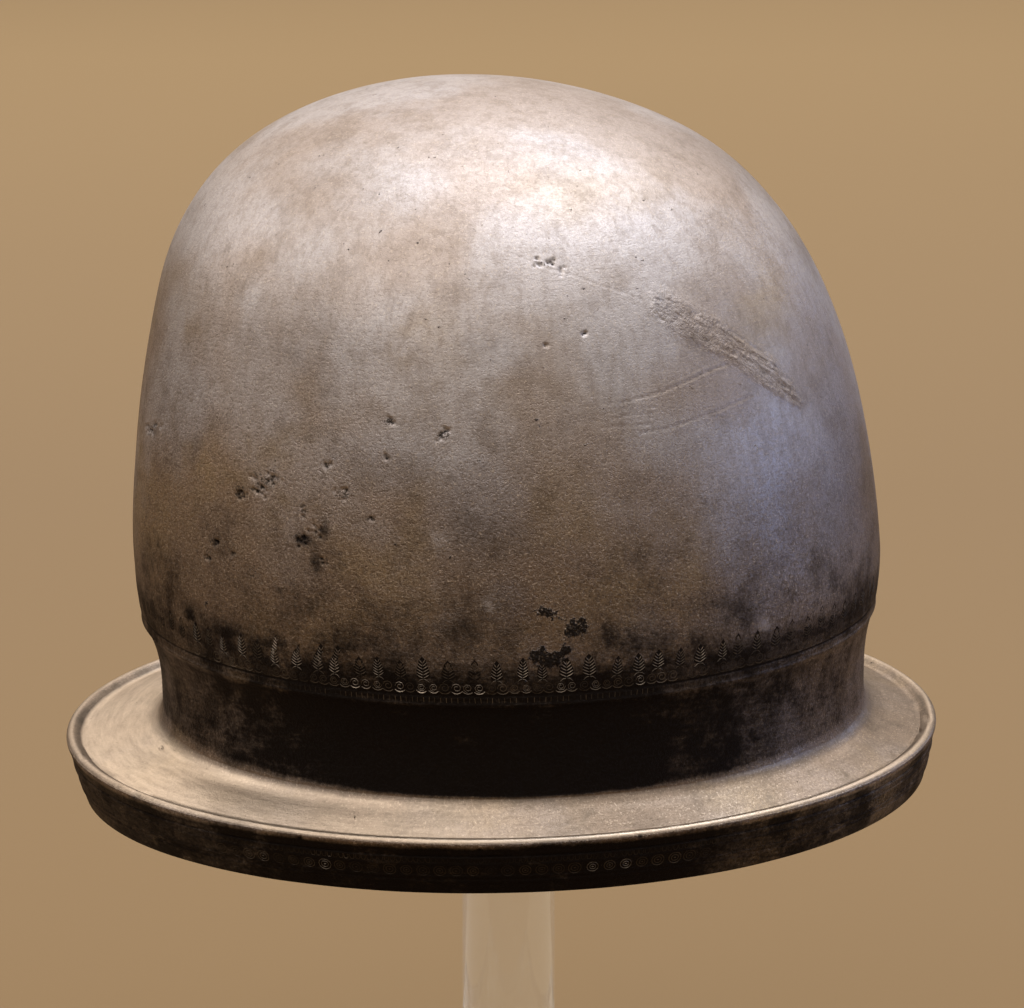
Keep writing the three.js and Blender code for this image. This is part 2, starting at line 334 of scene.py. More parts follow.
# Marks of use and age, by the photo's pixels: a long torn scar with its fan of scratches,
# a hair crack, and pits where corrosion ate the bronze.
SCAR = (
    (645, 310), (646, 296), (652, 286), (672, 290), (692, 301), (722, 318), (750, 339),
    (776, 357), (795, 382), (805, 402), (801, 410), (789, 406), (760, 388), (730, 367),
    (700, 350), (668, 334),
)
SCRATCHES = (
    ((728, 364), (706, 372), (690, 380), (662, 392), (640, 398), (620, 403)),
    ((752, 395), (735, 403), (720, 410), (690, 421), (668, 428), (640, 433)),
    ((655, 413), (630, 415), (612, 419)),
    ((652, 424), (625, 426), (600, 428)),
    ((655, 407), (640, 410), (628, 412)),
    ((500, 250), (518, 256), (540, 266), (575, 276), (600, 285), (622, 292), (645, 301)),
    ((508, 188), (522, 190), (542, 193)),
)
PIT_GROUPS = (
    (242, 494, 6, 12), (262, 488, 9, 12), (273, 479, 9, 12), (252, 478, 5, 3),
    (326, 466, 5, 5), (388, 421, 6, 5), (444, 434, 8, 9), (344, 493, 8, 7),
    (304, 509, 4, 4), (215, 541, 5, 5), (209, 556, 5, 5), (233, 553, 3, 3),
    (150, 430, 6, 6), (387, 458, 4, 3), (371, 518, 3, 3), (585, 333, 3, 3),
    (547, 345, 3, 2), (541, 262, 9, 7), (565, 270, 6, 4), (551, 263, 6, 5),
    (158, 425, 4, 4), (318, 530, 12, 9), (300, 540, 9, 8), (320, 560, 8, 5),
)
PITTED = (
    (240, 492, 9, 8), (256, 489, 10, 6), (268, 482, 11, 8), (257, 474, 6, 5), (273, 470, 5, 4),
    (325, 465, 6, 6), (335, 457, 5, 3), (342, 494, 9, 6), (303, 508, 6, 5), (444, 435, 7, 6),
    (388, 421, 6, 5), (386, 458, 4, 4), (371, 519, 4, 4), (213, 541, 6, 5), (209, 555, 5, 6),
    (302, 538, 11, 6), (152, 430, 6, 9), (548, 263, 12, 4, 0.6), (586, 333, 4, 3), (232, 552, 5, 4),
    (255, 575, 9, 10), (480, 465, 5, 4), (437, 540, 5, 4),
)
CRUSTS = (
    (540, 656, 12, 11), (556, 660, 12, 8), (549, 612, 9, 8), (577, 628, 12, 9),
    (568, 646, 5, 9), (290, 540, 9, 6, 0.35), (327, 530, 5, 9, 0.45), (313, 562, 7, 6, 0.4),
    (206, 604, 4, 5, 0.45), (530, 676, 10, 8, 0.7), (545, 600, 8, 6, 0.7),
)
SMUDGES = (
    (302, 538, 12, 8, 0.42), (325, 530, 7, 12, 0.6), (314, 560, 10, 12, 0.5),
    (282, 588, 13, 6, 0.5), (228, 630, 22, 14, 0.4), (190, 612, 14, 9, 0.4),
    (270, 642, 26, 9, 0.4), (345, 640, 30, 13, 0.35), (503, 352, 24, 10, 0.16),
    (400, 606, 60, 16, 0.1), (700, 606, 60, 14, 0.15), (480, 630, 70, 14, 0.1),
    (640, 560, 40, 16, 0.14), (350, 560, 30, 14, 0.16), (820, 560, 14, 40, 0.2),
    (150, 560, 10, 40, 0.2), (620, 640, 40, 12, 0.35),
    (450, 525, 80, 34, 0.2), (690, 470, 50, 50, 0.1),
)
GOLDEN_CLOUDS = (
    (765, 305, 26, 46, 0.45), (415, 345, 42, 34, 0.35), (195, 505, 40, 60, 0.7),
    (165, 600, 26, 40, 0.5), (300, 618, 60, 26, 0.7), (570, 610, 60, 32, 0.5),
    (640, 596, 50, 22, 0.5), (470, 640, 50, 16, 0.4), (345, 560, 34, 26, 0.5),
    (230, 560, 36, 30, 0.5), (590, 200, 60, 30, 0.25), (700, 560, 24, 40, 0.25),
)
# Grey-violet clouds; the long upright ones on the dome's right side paint a cool blue reflection in
# slate.
GREY_CLOUDS_AND_BLUE_REFLECTIONS = (
    (505, 352, 30, 17, 0.8), (480, 500, 46, 60, 0.6), (320, 320, 70, 50, 0.35),
    (640, 340, 60, 40, 0.6), (760, 520, 46, 90, 0.9), (832, 480, 22, 80, 0.9),
    (400, 460, 60, 30, 0.5), (700, 440, 60, 30, 0.6), (505, 600, 22, 20, 0.6),
    (180, 400, 30, 50, 0.4), (765, 700, 46, 60, 0.9), (700, 250, 60, 40, 0.4),
)
LIP_NICKS = (
    (137, 795, 4, -0.25), (83, 757, 3, -0.2), (161, 748, 2.2, -0.35), (928, 718, 4, -0.3),
    (895, 752, 4, -0.2), (919, 731, 2.5, -0.3), (300, 838, 2.5, -0.15), (640, 836, 2.5, -0.15),
    (118, 786, 3, -0.15), (480, 850, 2, -0.12),
)
PALE_SPOTS = ((440, 541, 7), (489, 605, 7), (765, 626, 6), (585, 388, 6), (222, 652, 5))
FINE_CUTS = 4


def path_distance(across, down, path):
    """Each vertex's distance in pixels from a path."""
    best = np.full(len(across), 1e9)
    for (x0, y0), (x1, y1) in zip(path, path[1:]):
        length = math.hypot(x1 - x0, y1 - y0)
        part = ((across - x0) * (x1 - x0) + (down - y0) * (y1 - y0)) / length ** 2
        part = np.clip(part, 0, 1)
        gap = np.hypot(across - x0 - part * (x1 - x0), down - y0 - part * (y1 - y0))
        best = np.minimum(best, gap)
    return best


def within(across, down, outline):
    """Which vertices lie inside a closed outline of pixels."""
    inside = np.zeros(len(across), bool)
    for (x0, y0), (x1, y1) in zip(outline, outline[1:] + outline[:1]):
        if y0 == y1:
            continue
        crosses = (y0 > down) != (y1 > down)
        at = x0 + (down - y0) / (y1 - y0) * (x1 - x0)
        inside ^= crosses & (across < at)
    return inside


def shell_view(mesh):
    """Each vertex's place, its way out, its pixel, and whether the photo shows it."""
    spots = np.zeros(len(mesh.vertices) * 3)
    mesh.vertices.foreach_get("co", spots)
    spots = spots.reshape(-1, 3)
    outward = np.zeros(len(mesh.vertices) * 3, np.float32)
    mesh.vertex_normals.foreach_get("vector", outward)
    outward = outward.reshape(-1, 3).astype(float)
    across, down = photo_pixels(spots)
    facing = ((np.array(camera.location) - spots) * outward).sum(axis=1) > 0.05
    return spots, outward, across, down, facing


pits_rng = np.random.default_rng(5)
front_pits = [
    (x + pits_rng.normal(0, spread / 2), y + pits_rng.normal(0, spread / 2.4),
     pits_rng.uniform(1.3, 2.6))
    for x, y, spread, count in PIT_GROUPS for _ in range(count)
]
spots, outward, across, down, facing = shell_view(shell_mesh)
upper = facing & (spots[:, 2] > (LIP_TOP + NECK_HEIGHT) * MM)
marked = np.zeros(len(spots), bool)
for path in (*SCRATCHES, SCAR + SCAR[:1]):
    marked |= path_distance(across, down, path) < 5
marked |= within(across, down, SCAR)
for x, y, size in front_pits:
    marked |= np.hypot(across - x, down - y) < size + 2.5
marked &= upper
for x, y, size, _ in LIP_NICKS:
    marked |= facing & (np.hypot(across - x, down - y) < size + 4)

# The far side has its own pits, scattered by chance.
far_side = ~facing & (spots[:, 2] > (LIP_TOP + NECK_HEIGHT + FOOT_HEIGHT) * MM)
far_side &= (outward * (spots - np.array([0, 0, 0.2]))).sum(axis=1) > 0
far_vertices = np.flatnonzero(far_side)
far_groups = spots[pits_rng.choice(far_vertices, 16)]
far_pits = []
for centre in far_groups:
    for _ in range(int(pits_rng.integers(2, 9))):
        far_pits.append((centre + pits_rng.normal(0, 1.6, 3) * MM, pits_rng.uniform(0.4, 0.8)))
for centre, size in far_pits:
    marked |= np.linalg.norm(spots - centre, axis=1) < 1.8 * MM

work = bmesh.new()
work.from_mesh(shell_mesh)
work.verts.ensure_lookup_table()
fine_edges = {
    edge for face in work.faces if any(marked[vert.index] for vert in face.verts)
    for edge in face.edges
}
bmesh.ops.subdivide_edges(work, edges=list(fine_edges), cuts=FINE_CUTS, use_grid_fill=True)
bmesh.ops.triangulate(work, faces=[face for face in work.faces if len(face.verts) > 4])
work.to_mesh(shell_mesh)
work.free()
shell_mesh.update()

spots, outward, across, down, facing = shell_view(shell_mesh)
vertex_count = len(spots)
shell_dark = fetch(shell_mesh, "dark")
shell_bright = fetch(shell_mesh, "bright")
pale = np.zeros(vertex_count)
push = np.zeros(vertex_count)
upper = facing & (spots[:, 2] > (LIP_TOP + NECK_HEIGHT) * MM)

seen = upper & (abs(across - 725) < 100) & (abs(down - 350) < 85)
edge_gap = path_distance(across, down, SCAR + SCAR[:1])
depth = np.where(within(across, down, SCAR) & seen, np.clip(edge_gap / 9, 0, 1), 0)
axis = np.array((157, 107)) / math.hypot(157, 107)
lengthwise = (across - 645) * axis[0] + (down - 300) * axis[1]
crosswise = (down - 300) * axis[0] - (across - 645) * axis[1]
for k in np.flatnonzero(depth > 0):
    fibre = noise.noise(Vector((lengthwise[k] * 0.06, crosswise[k] * 0.30, 3.0)))
    ragged = 1.1 + 0.9 * noise.noise(Vector((lengthwise[k] * 0.09, crosswise[k] * 0.2, 7.0)))
    depth[k] *= min(max(ragged, 0), 1.2) * min(0.65 + lengthwise[k] / 300, 1.2)
    push[k] -= depth[k] * (0.16 - 0.22 * fibre)
    shell_dark[k] += depth[k] * np.clip(0.05 - 0.4 * fibre, 0, 0.25)
lip_of_scar = np.clip(1 - edge_gap / 2.2, 0, 1) * seen
push += 0.05 * lip_of_scar
torn = depth.copy()
scar_start = spots[np.argmin(np.hypot(across - 655, down - 298) + 1e3 * ~upper)]
scar_end = spots[np.argmin(np.hypot(across - 800, down - 402) + 1e3 * ~upper)]
scar_line = Vector(scar_end - scar_start).normalized()
scar_turn = scar_line.rotation_difference(Vector((1, 0, 0))).to_euler()
for path, cut in zip(SCRATCHES, (0.2, 0.15, 0.12, 0.12, 0.1, 0.055, 0.05)):
    gap = path_distance(across, down, path)
    groove = np.clip(1 - gap / 1.5, 0, 1) * upper
    push -= cut * groove
    push += 0.3 * cut * np.clip(1 - abs(gap - 2.2) / 1.2, 0, 1) * upper
    shell_dark = shell_dark + 2.4 * cut * groove
for x, y, size in front_pits:
    bowl = np.clip(1 - np.hypot(across - x, down - y) / size, 0, 1) * upper
    push -= 0.5 * np.sqrt(bowl)
    shell_dark = shell_dark + 0.8 * bowl
for centre, size in far_pits:
    bowl = np.clip(1 - np.linalg.norm(spots - centre, axis=1) / (size * MM), 0, 1)
    push -= 0.4 * np.sqrt(bowl)
    shell_dark = shell_dark + 0.8 * bowl
for x, y, wide, tall, thick in SMUDGES:
    near = np.flatnonzero(upper & (abs(across - x) < 2 * wide) & (abs(down - y) < 2 * tall))
    for k in near:
        gap = math.hypot((across[k] - x) / wide, (down[k] - y) / tall)
        ragged = noise.noise(Vector((across[k] * 0.11, down[k] * 0.11, x * 0.1)))
        shell_dark[k] += thick * min(max(1.25 - gap + 0.8 * ragged, 0), 1)


def clouds(marks):
    """How deep each vertex lies in any of a list of soft ovals of pixels, 0 to 1."""
    depth = np.zeros(vertex_count)
    for x, y, wide, tall, *strength in marks:
        gap = np.hypot((across - x) / wide, (down - y) / tall)
        soft = np.clip(1.5 - gap, 0, 1) * facing
        depth = np.maximum(depth, soft * (strength[0] if strength else 1))
    return depth


crust = clouds(CRUSTS)
push += 0.12 * crust
pitted = clouds(PITTED)
golden_cloud = clouds(GOLDEN_CLOUDS)
grey_cloud_and_reflection = clouds(GREY_CLOUDS_AND_BLUE_REFLECTIONS)
for x, y, size, depth_of_nick in LIP_NICKS:
    nick = np.clip(1.3 - np.hypot(across - x, down - y) / size, 0, 1) * facing
    push += depth_of_nick * nick
    shell_dark = shell_dark + 0.5 * nick
for x, y, size in PALE_SPOTS:
    pale += 0.5 * np.clip(1.4 - np.hypot(across - x, down - y) / size, 0, 1) * upper

# The neck and rim are painted lighter towards the front and back, most at the back: a painted
# reflection at the ends of their curve.
ends = np.clip((abs(spots[:, 0]) - 0.03) / 0.07, 0, 1)
low_down = np.clip((LIP_TOP + NECK_HEIGHT + 9 - spots[:, 2] / MM) / 8, 0, 1)
on_neck = (shell_dark > 0.3) & (spots[:, 2] > (LIP_TOP + 1) * MM)
rightmost = np.clip((spots[:, 0] - 0.02) / 0.06, 0, 1)
painted_reflection = ends * low_down * np.where(on_neck, 0.47 + 0.2 * rightmost, 0.2 + 0.16 * rightmost)
shell_dark = shell_dark - painted_reflection * (shell_dark > 0.3)

# The brim's top is painted brightest towards the front, and the lip's crest along its middle:
# painted highlights.
on_brim = (shell_bright < 0.285) & (outward[:, 2] > 0.5)
on_lip = shell_bright > 0.285
shell_bright = shell_bright * np.where(on_brim, np.clip(1 - 12 * spots[:, 0], 0.55, 2.2), 1)
lip_highlight = np.interp(spots[:, 0], (-0.12, -0.05, 0.05, 0.12), (0.5, 1.1, 1.1, 0.65))
shell_bright = shell_bright * np.where(on_lip, lip_highlight, 1)

# The wall is a little uneven from the hammer all over.
for k in range(vertex_count):
    spot = Vector(spots[k])
    push[k] += 0.07 * noise.noise(spot * 28) + 0.035 * noise.noise(spot * 90)
spots += outward * (push * MM)[:, None]
shell_mesh.vertices.foreach_set("co", spots.ravel())
for name, values in (
    ("dark", shell_dark), ("bright", shell_bright), ("pale", pale), ("torn", torn),
    ("crust", crust), ("pitted", pitted), ("gold", golden_cloud), ("grey", grey_cloud_and_reflection),
):
    store(shell_mesh, name, np.clip(values, 0, 1))
shell_mesh.polygons.foreach_set("use_smooth", [True] * len(shell_mesh.polygons))
shell_mesh.update()


def set_down(name, content):
    """A new object in the scene, at the origin."""
    made = bpy.data.objects.new(name, content)
    bpy.context.scene.collection.objects.link(made)
    return made


shell = set_down("helmet_bronze", shell_mesh)


class Wire:
    """A node's socket. Python's operators on it add Math nodes to its tree."""

    def __init__(self, tree, socket=None):
        self.tree = tree
        self.socket = socket

    def node(self, kind, sockets=None, output=0, **settings):
        """Adds a node: its settings first, then its sockets' values or links."""
        made = self.tree.nodes.new(kind)
        for name, value in settings.items():
            if name == "stops":
                while len(made.color_ramp.elements) < len(value):
                    made.color_ramp.elements.new(0.5)
                for element, (place, colour) in zip(made.color_ramp.elements, value):
                    element.position = place
                    element.color = (*colour, 1)
            else:
                setattr(made, name, value)
        for name, value in (sockets or {}).items():
            if isinstance(value, Wire):
                self.tree.links.new(value.socket, made.inputs[name])
            else:
                made.inputs[name].default_value = value
        return Wire(self.tree, made.outputs[output] if len(made.outputs) else None)

    def maths(self, operation, *values):
        return self.node("ShaderNodeMath", dict(enumerate(values)), operation=operation)

    def __add__(self, other):
        return self.maths("ADD", self, other)

    __radd__ = __add__

    def __sub__(self, other):
        return self.maths("SUBTRACT", self, other)

    def __rsub__(self, other):
        return self.maths("SUBTRACT", other, self)

    def __mul__(self, other):
        return self.maths("MULTIPLY", self, other)

    __rmul__ = __mul__

    def step(self, low, high):
        """0 below low, 1 above high, smooth between them."""
        return self.node(
            "ShaderNodeMapRange", {"Value": self, "From Min": low, "From Max": high},
            interpolation_type="SMOOTHSTEP",
        )

    def mix(self, first, second):
        """A colour, from the first where self is 0 to the second where it is 1."""
        return self.node("ShaderNodeMix", {0: self, 6: first, 7: second}, 2, data_type="RGBA")

    def noise(self, vector, scale, detail=3.0, roughness=0.5):
        return self.node("ShaderNodeTexNoise", {
            "Vector": vector, "Scale": scale, "Detail": detail, "Roughness": roughness,
        })

    def surface(self, sockets):
        """Ends a material in a Principled surface."""
        shader = self.node("ShaderNodeBsdfPrincipled", sockets)
        self.node("ShaderNodeOutputMaterial", {"Surface": shader})

    def part(self, letter):
        """One part of a vector: X, Y or Z."""
        return self.node("ShaderNodeSeparateXYZ", {0: self}, output=letter)

    def attribute(self, name):
        return self.node("ShaderNodeAttribute", output=2, attribute_name=name)


def blank_material(name):
    """A material without nodes, a wire to build them on, and each point's own place."""
    made = bpy.data.materials.new(name)
    made.use_nodes = True
    made.node_tree.nodes.clear()
    start = Wire(made.node_tree)
    return made, start, start.node("ShaderNodeTexCoord", output="Object")


bronze, start, place = blank_material("aged_bronze")
dark, bright, pale_spot, torn, crust, pitted, golden_part, grey_and_reflection_part = (
    start.attribute(name)
    for name in ("dark", "bright", "pale", "torn", "crust", "pitted", "gold", "grey")
)
broad = start.noise(place, 22.0, 3.0, 0.5)
blotch = start.noise(place, 95.0, 4.0, 0.65)
grain = start.noise(place, 900.0, 3.0, 0.6)
pebble = start.noise(place, 1500.0, 2.0, 0.6)
speck = start.noise(place, 2600.0, 2.0, 0.5)
gold_cloud = start.noise(place, 30.0, 4.0, 0.65)
golden = (0.45, 0.32, 0.165, 1)
brown = (0.32, 0.235, 0.17, 1)
grey = (0.46, 0.41, 0.385, 1)
slate_and_reflection = (0.14, 0.155, 0.20, 1)
dun = (0.19, 0.14, 0.10, 1)
umber = (0.10, 0.070, 0.050, 1)
patina_and_shade = (0.013, 0.010, 0.0085, 1)
wear_and_highlight = (0.72, 0.575, 0.425, 1)

# The ground goes from grey above to brown below, with clouds of golden, grey and umber; the plain
# umber darkening towards the dome's foot is painted shade.
high, rightward, inward = place.part("Z"), place.part("X"), place.part("Y")
upper_part = (high + 0.2 * rightward + 0.05 * broad).step(0.225, 0.315)
low_stain_and_shade = 1 - (high + 0.03 * broad).step(0.198, 0.262)
greyness = broad.step(0.42, 0.60) * 0.5 + 0.45 * upper_part + 0.5 * grey_and_reflection_part
goldness = gold_cloud.step(0.48, 0.70) * (0.8 - 0.76 * upper_part)
goldness = goldness + 0.8 * golden_part * gold_cloud.step(0.36, 0.62)
tone = (greyness - 0.4 * golden_part).mix(brown, grey)
painted_shade_low = 1 - (high - 0.08 * rightward + 0.03 * broad).step(0.210, 0.282)
mottle = start.noise(place, 60.0, 6.0, 0.75)
leather = start.noise(place, 1150.0, 3.0, 0.7)
for mask, colour in (
    (goldness - 0.7 * grey_and_reflection_part, golden),
    # slate: grey-violet clouds, and a painted blue reflection on the dome's right side
    (0.65 * grey_and_reflection_part * (1 - upper_part), slate_and_reflection),
    # painted shade: the dome is darkened towards its foot
    (painted_shade_low * 0.52, umber),
    (mottle.step(0.46, 0.66) * (0.66 - 0.34 * upper_part), dun),
    (leather.step(0.50, 0.60) * (0.42 - 0.32 * upper_part), umber),
    (blotch.step(0.48, 0.76) * (0.62 - 0.42 * upper_part), umber),
    (grain.step(0.46, 0.66) * (0.42 - 0.32 * upper_part), umber),
    (speck.step(0.46, 0.62) * (0.50 - 0.38 * upper_part), umber),
    (pebble.step(0.58, 0.68) * (0.30 - 0.08 * upper_part), wear_and_highlight),
    (pale_spot, (0.5, 0.45, 0.42, 1)),
):
    tone = mask.mix(tone, colour)

# Fibres of torn metal run along the scar.
along_scar = start.node("ShaderNodeMapping", {
    "Vector": place, "Rotation": tuple(scar_turn),
})
stretched = start.node("ShaderNodeVectorMath", {
    0: along_scar, 1: (0.30, 1.0, 1.0),
}, operation="MULTIPLY")
fibre = start.noise(stretched, 1000.0, 5.0, 0.75)
tone = (torn * (0.12 + 0.36 * fibre.step(0.45, 0.66))).mix(tone, umber)

# Streaks follow the helmet round, where it was turned and polished.
radius = start.maths("SQRT", rightward * rightward + inward * inward)
ringed = start.node("ShaderNodeCombineXYZ", {
    0: radius + 0.10 * rightward, 1: high + 0.10 * inward, 2: 0.10 * rightward - 0.07 * inward,
})
ring_streak = start.noise(ringed, 700.0, 4.0, 0.65)
# Dark patina from the rows' darkness and from stains low on the dome; the even darkening low on the
# dome is painted shade, and so is part of the neck's darkness.
stain = low_stain_and_shade * start.noise(place, 42.0, 5.0, 0.7).step(0.46, 0.64)
dark_edge = dark + stain * 0.34 + low_stain_and_shade * 0.13 + (blotch - 0.5) * 0.8 + (grain - 0.5) * 0.5
dark_edge = dark_edge + (ring_streak - 0.5) * (0.5 * dark.step(0.15, 0.5))
dark_edge = dark_edge.step(0.10, 1.05)
tone = dark_edge.mix(tone, patina_and_shade)
# Pale worn metal where 'bright' is set; on the brim's top and the lip's crest it is also a painted
# highlight.
tone = (bright * (0.62 + 1.2 * (ring_streak - 0.3))).mix(tone, wear_and_highlight)

# Corrosion: ragged black crusts, and little black cavities close together.
flake = start.noise(place, 330.0, 4.0, 0.7)
crusted = (crust + (flake - 0.5) * 2.6 + (grain - 0.5) * 0.9).step(0.52, 0.70)
cavity = (pebble + 0.5 * flake + 0.22 * pitted).step(0.97, 1.05) * pitted.step(0.05, 0.5)
black = (0.012, 0.010, 0.009, 1)
blackness = crusted * (0.95 - 0.35 * pebble.step(0.52, 0.68)) + 0.7 * cavity
tone = blackness.maths("MINIMUM", blackness, 1.0).mix(tone, black)
streaked = start.node("ShaderNodeVectorMath", {
    0: place, 1: (1.0, 1.0, 0.06),
}, operation="MULTIPLY")
streak = start.noise(streaked, 420.0, 3.0, 0.6)
tone = (streak.step(0.48, 0.62) * (0.20 * upper_part)).mix(tone, dun)
rough = 0.33 + 0.08 * blotch + 0.06 * grain + 0.14 * dark + 0.1 * torn + 0.08 * streak
rough = rough - 0.12 * bright + 0.05 * upper_part
height = grain * 0.35 + pebble * 0.6 + speck * 0.4 + blotch * 0.4
height = height - 0.35 * leather.step(0.50, 0.60)
height = height * (1 - 0.7 * upper_part) * (1 - 0.8 * bright.step(0.02, 0.12))
height = height + torn * (fibre * 2.4 + grain * 2.4)
height = height + crusted * (1.0 + 3.0 * grain) - 2.0 * cavity + 0.25 * ring_streak
bump = start.node("ShaderNodeBump", {
    "Strength": 0.75, "Distance": 0.0003, "Height": height,
})
start.surface({
    "Base Color": tone, "Roughness": rough, "Metallic": 0.95, "Normal": bump,
    "Specular Tint": (0.55, 0.52, 0.5, 1),
})
shell_mesh.materials.append(bronze)

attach(shell, "root")
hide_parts("helmet_shell")

# The frieze's palmettes: stamped one by one round the dome's foot, unevenly, each of five or
# six pairs of leaves with two lower arms that reach the spirals. The stamp's bed is dark with
# corrosion and the raised lines are worn bright.
ALONG = 1440


def band(name, height):
    """An outline's (distance, height) at a height above the corner, or a drop below the lip."""
    size = OUTLINES[name]
    if height >= 0:
        swell = FOOT_INSET * math.sin(height / FOOT_HEIGHT * math.pi / 2)
        return size["reach"] - FOOT_INSET + swell, NECK_HEIGHT + height
    drop = -height / 17.9 * size["rim"]
    crest = lip_radius[name] + LIP_RADIUS
    return crest - size["lean"] * (drop / size["rim"]) ** RIM_BOW, -drop


def band_ring(height):
    """A fine ring of points at a height above the corner, or at a drop if it is negative."""
    fine = 2 * math.pi * np.arange(ALONG + 1) / ALONG
    ends = [band(name, height) for name in ("front", "back", "side")]
    return ring_points(*ends, 0, fine)


def stamp_places(height, pitch, jitter, seed):
    """Places along a band, an even pitch apart but for a jitter, each with its frame."""
    rng = np.random.default_rng(seed)
    ring = band_ring(height)
    above = band_ring(height + 0.5)
    length = np.concatenate(([0], np.cumsum(np.linalg.norm(np.diff(ring, axis=0), axis=1))))
    count = round(length[-1] / (pitch * MM))
    at = (np.arange(count) + rng.uniform(-jitter, jitter, count)) / count * length[-1]
    at = at % length[-1]

    def on_ring(points, where):
        return np.column_stack([np.interp(where, length, column) for column in points.T])

    middle, higher = on_ring(ring, at), on_ring(above, at)
    ahead = on_ring(ring, (at + MM) % length[-1])
    turns_there = []
    for here, along, up in zip(middle, ahead - middle, higher - middle):
        along = Vector(along).normalized()
        out = along.cross(Vector(up)).normalized()
        tip = rng.normal(0, 0.06)
        frame_there = Matrix((along, out.cross(along), out)).transposed()
        frame_there = frame_there @ Matrix.Rotation(tip, 3, "Z")
        turns_there.append(tuple(frame_there.to_euler()))
    return middle, np.array(turns_there), rng


def rubbed(places, seed, least, bare=0.0):
    """How much of each stamp is left: it is rubbed off in patches, most of all within bare of the
    side.
    """
    left = np.array([
        0.62 + 0.9 * noise.noise(Vector((x * 22, y * 22, seed))) for x, y, _ in places
    ])
    left = np.clip(left, least, 1) * np.interp(abs(places[:, 0]), (0.045, 0.09), (1, 0.4))
    if bare:
        left *= np.clip(0.3 + abs(places[:, 0]) / bare * 0.7, 0.3, 1)
    return left


class Stamp:
    """A stamp's relief: closed strips with a ridge, in millimetres, x along and y up."""

    def __init__(self):
        self.points, self.faces, self.proud, self.bright = [], [], [], []

    def strip(self, path, half, rise, bright=1.0):
        path = np.array(path, float)
        lean = np.gradient(path, axis=0)
        lean /= np.linalg.norm(lean, axis=1)[:, None]
        side = np.column_stack((-lean[:, 1], lean[:, 0])) * half
        first = len(self.points)
        for k, (here, across) in enumerate(zip(path, side)):
            taper = 0.55 if k in (0, len(path) - 1) else 1.0
            self.points += [here + across * taper, here, here - across * taper]
            self.proud += [-0.06, rise * taper, -0.06]
            self.bright += [0.15 * bright, bright, 0.15 * bright]
            if k:
                a, b = first + 3 * k - 3, first + 3 * k
                self.faces += [(a, a + 1, b + 1, b), (a + 1, a + 2, b + 2, b + 1)]
                self.faces.append((a, b, b + 2, a + 2))
        last = len(self.points) - 3
        self.faces += [(first + 2, first + 1, first), (last, last + 1, last + 2)]

    def bed(self, outline, middle, rise=0.05):
        """A thin crust of dark corrosion inside an outline, flush at its edge."""
        first = len(self.points)
        count = len(outline)
        outer = np.array(outline, float)
        inner = middle + (outer - middle) * 0.85
        self.points += [*outer, *inner, np.array(middle), np.array(middle)]
        self.proud += [-0.05] * count + [rise] * (count + 1) + [-0.06]
        self.bright += [0.0] * (2 * count + 2)
        for k in range(count):
            a, b = first + k, first + (k + 1) % count
            self.faces += [(a, b, b + count, a + count), (b, a, first + 2 * count + 1)]
            self.faces.append((a + count, b + count, first + 2 * count))

    def mould(self, name):
        mesh = bpy.data.meshes.new(name)
        flat = [(x * MM, y * MM, 0) for x, y in self.points]
        mesh.from_pydata(flat, [], self.faces)
        store(mesh, "proud", self.proud)
        store(mesh, "bright", self.bright)
        return bpy.data.objects.new(name, mesh)


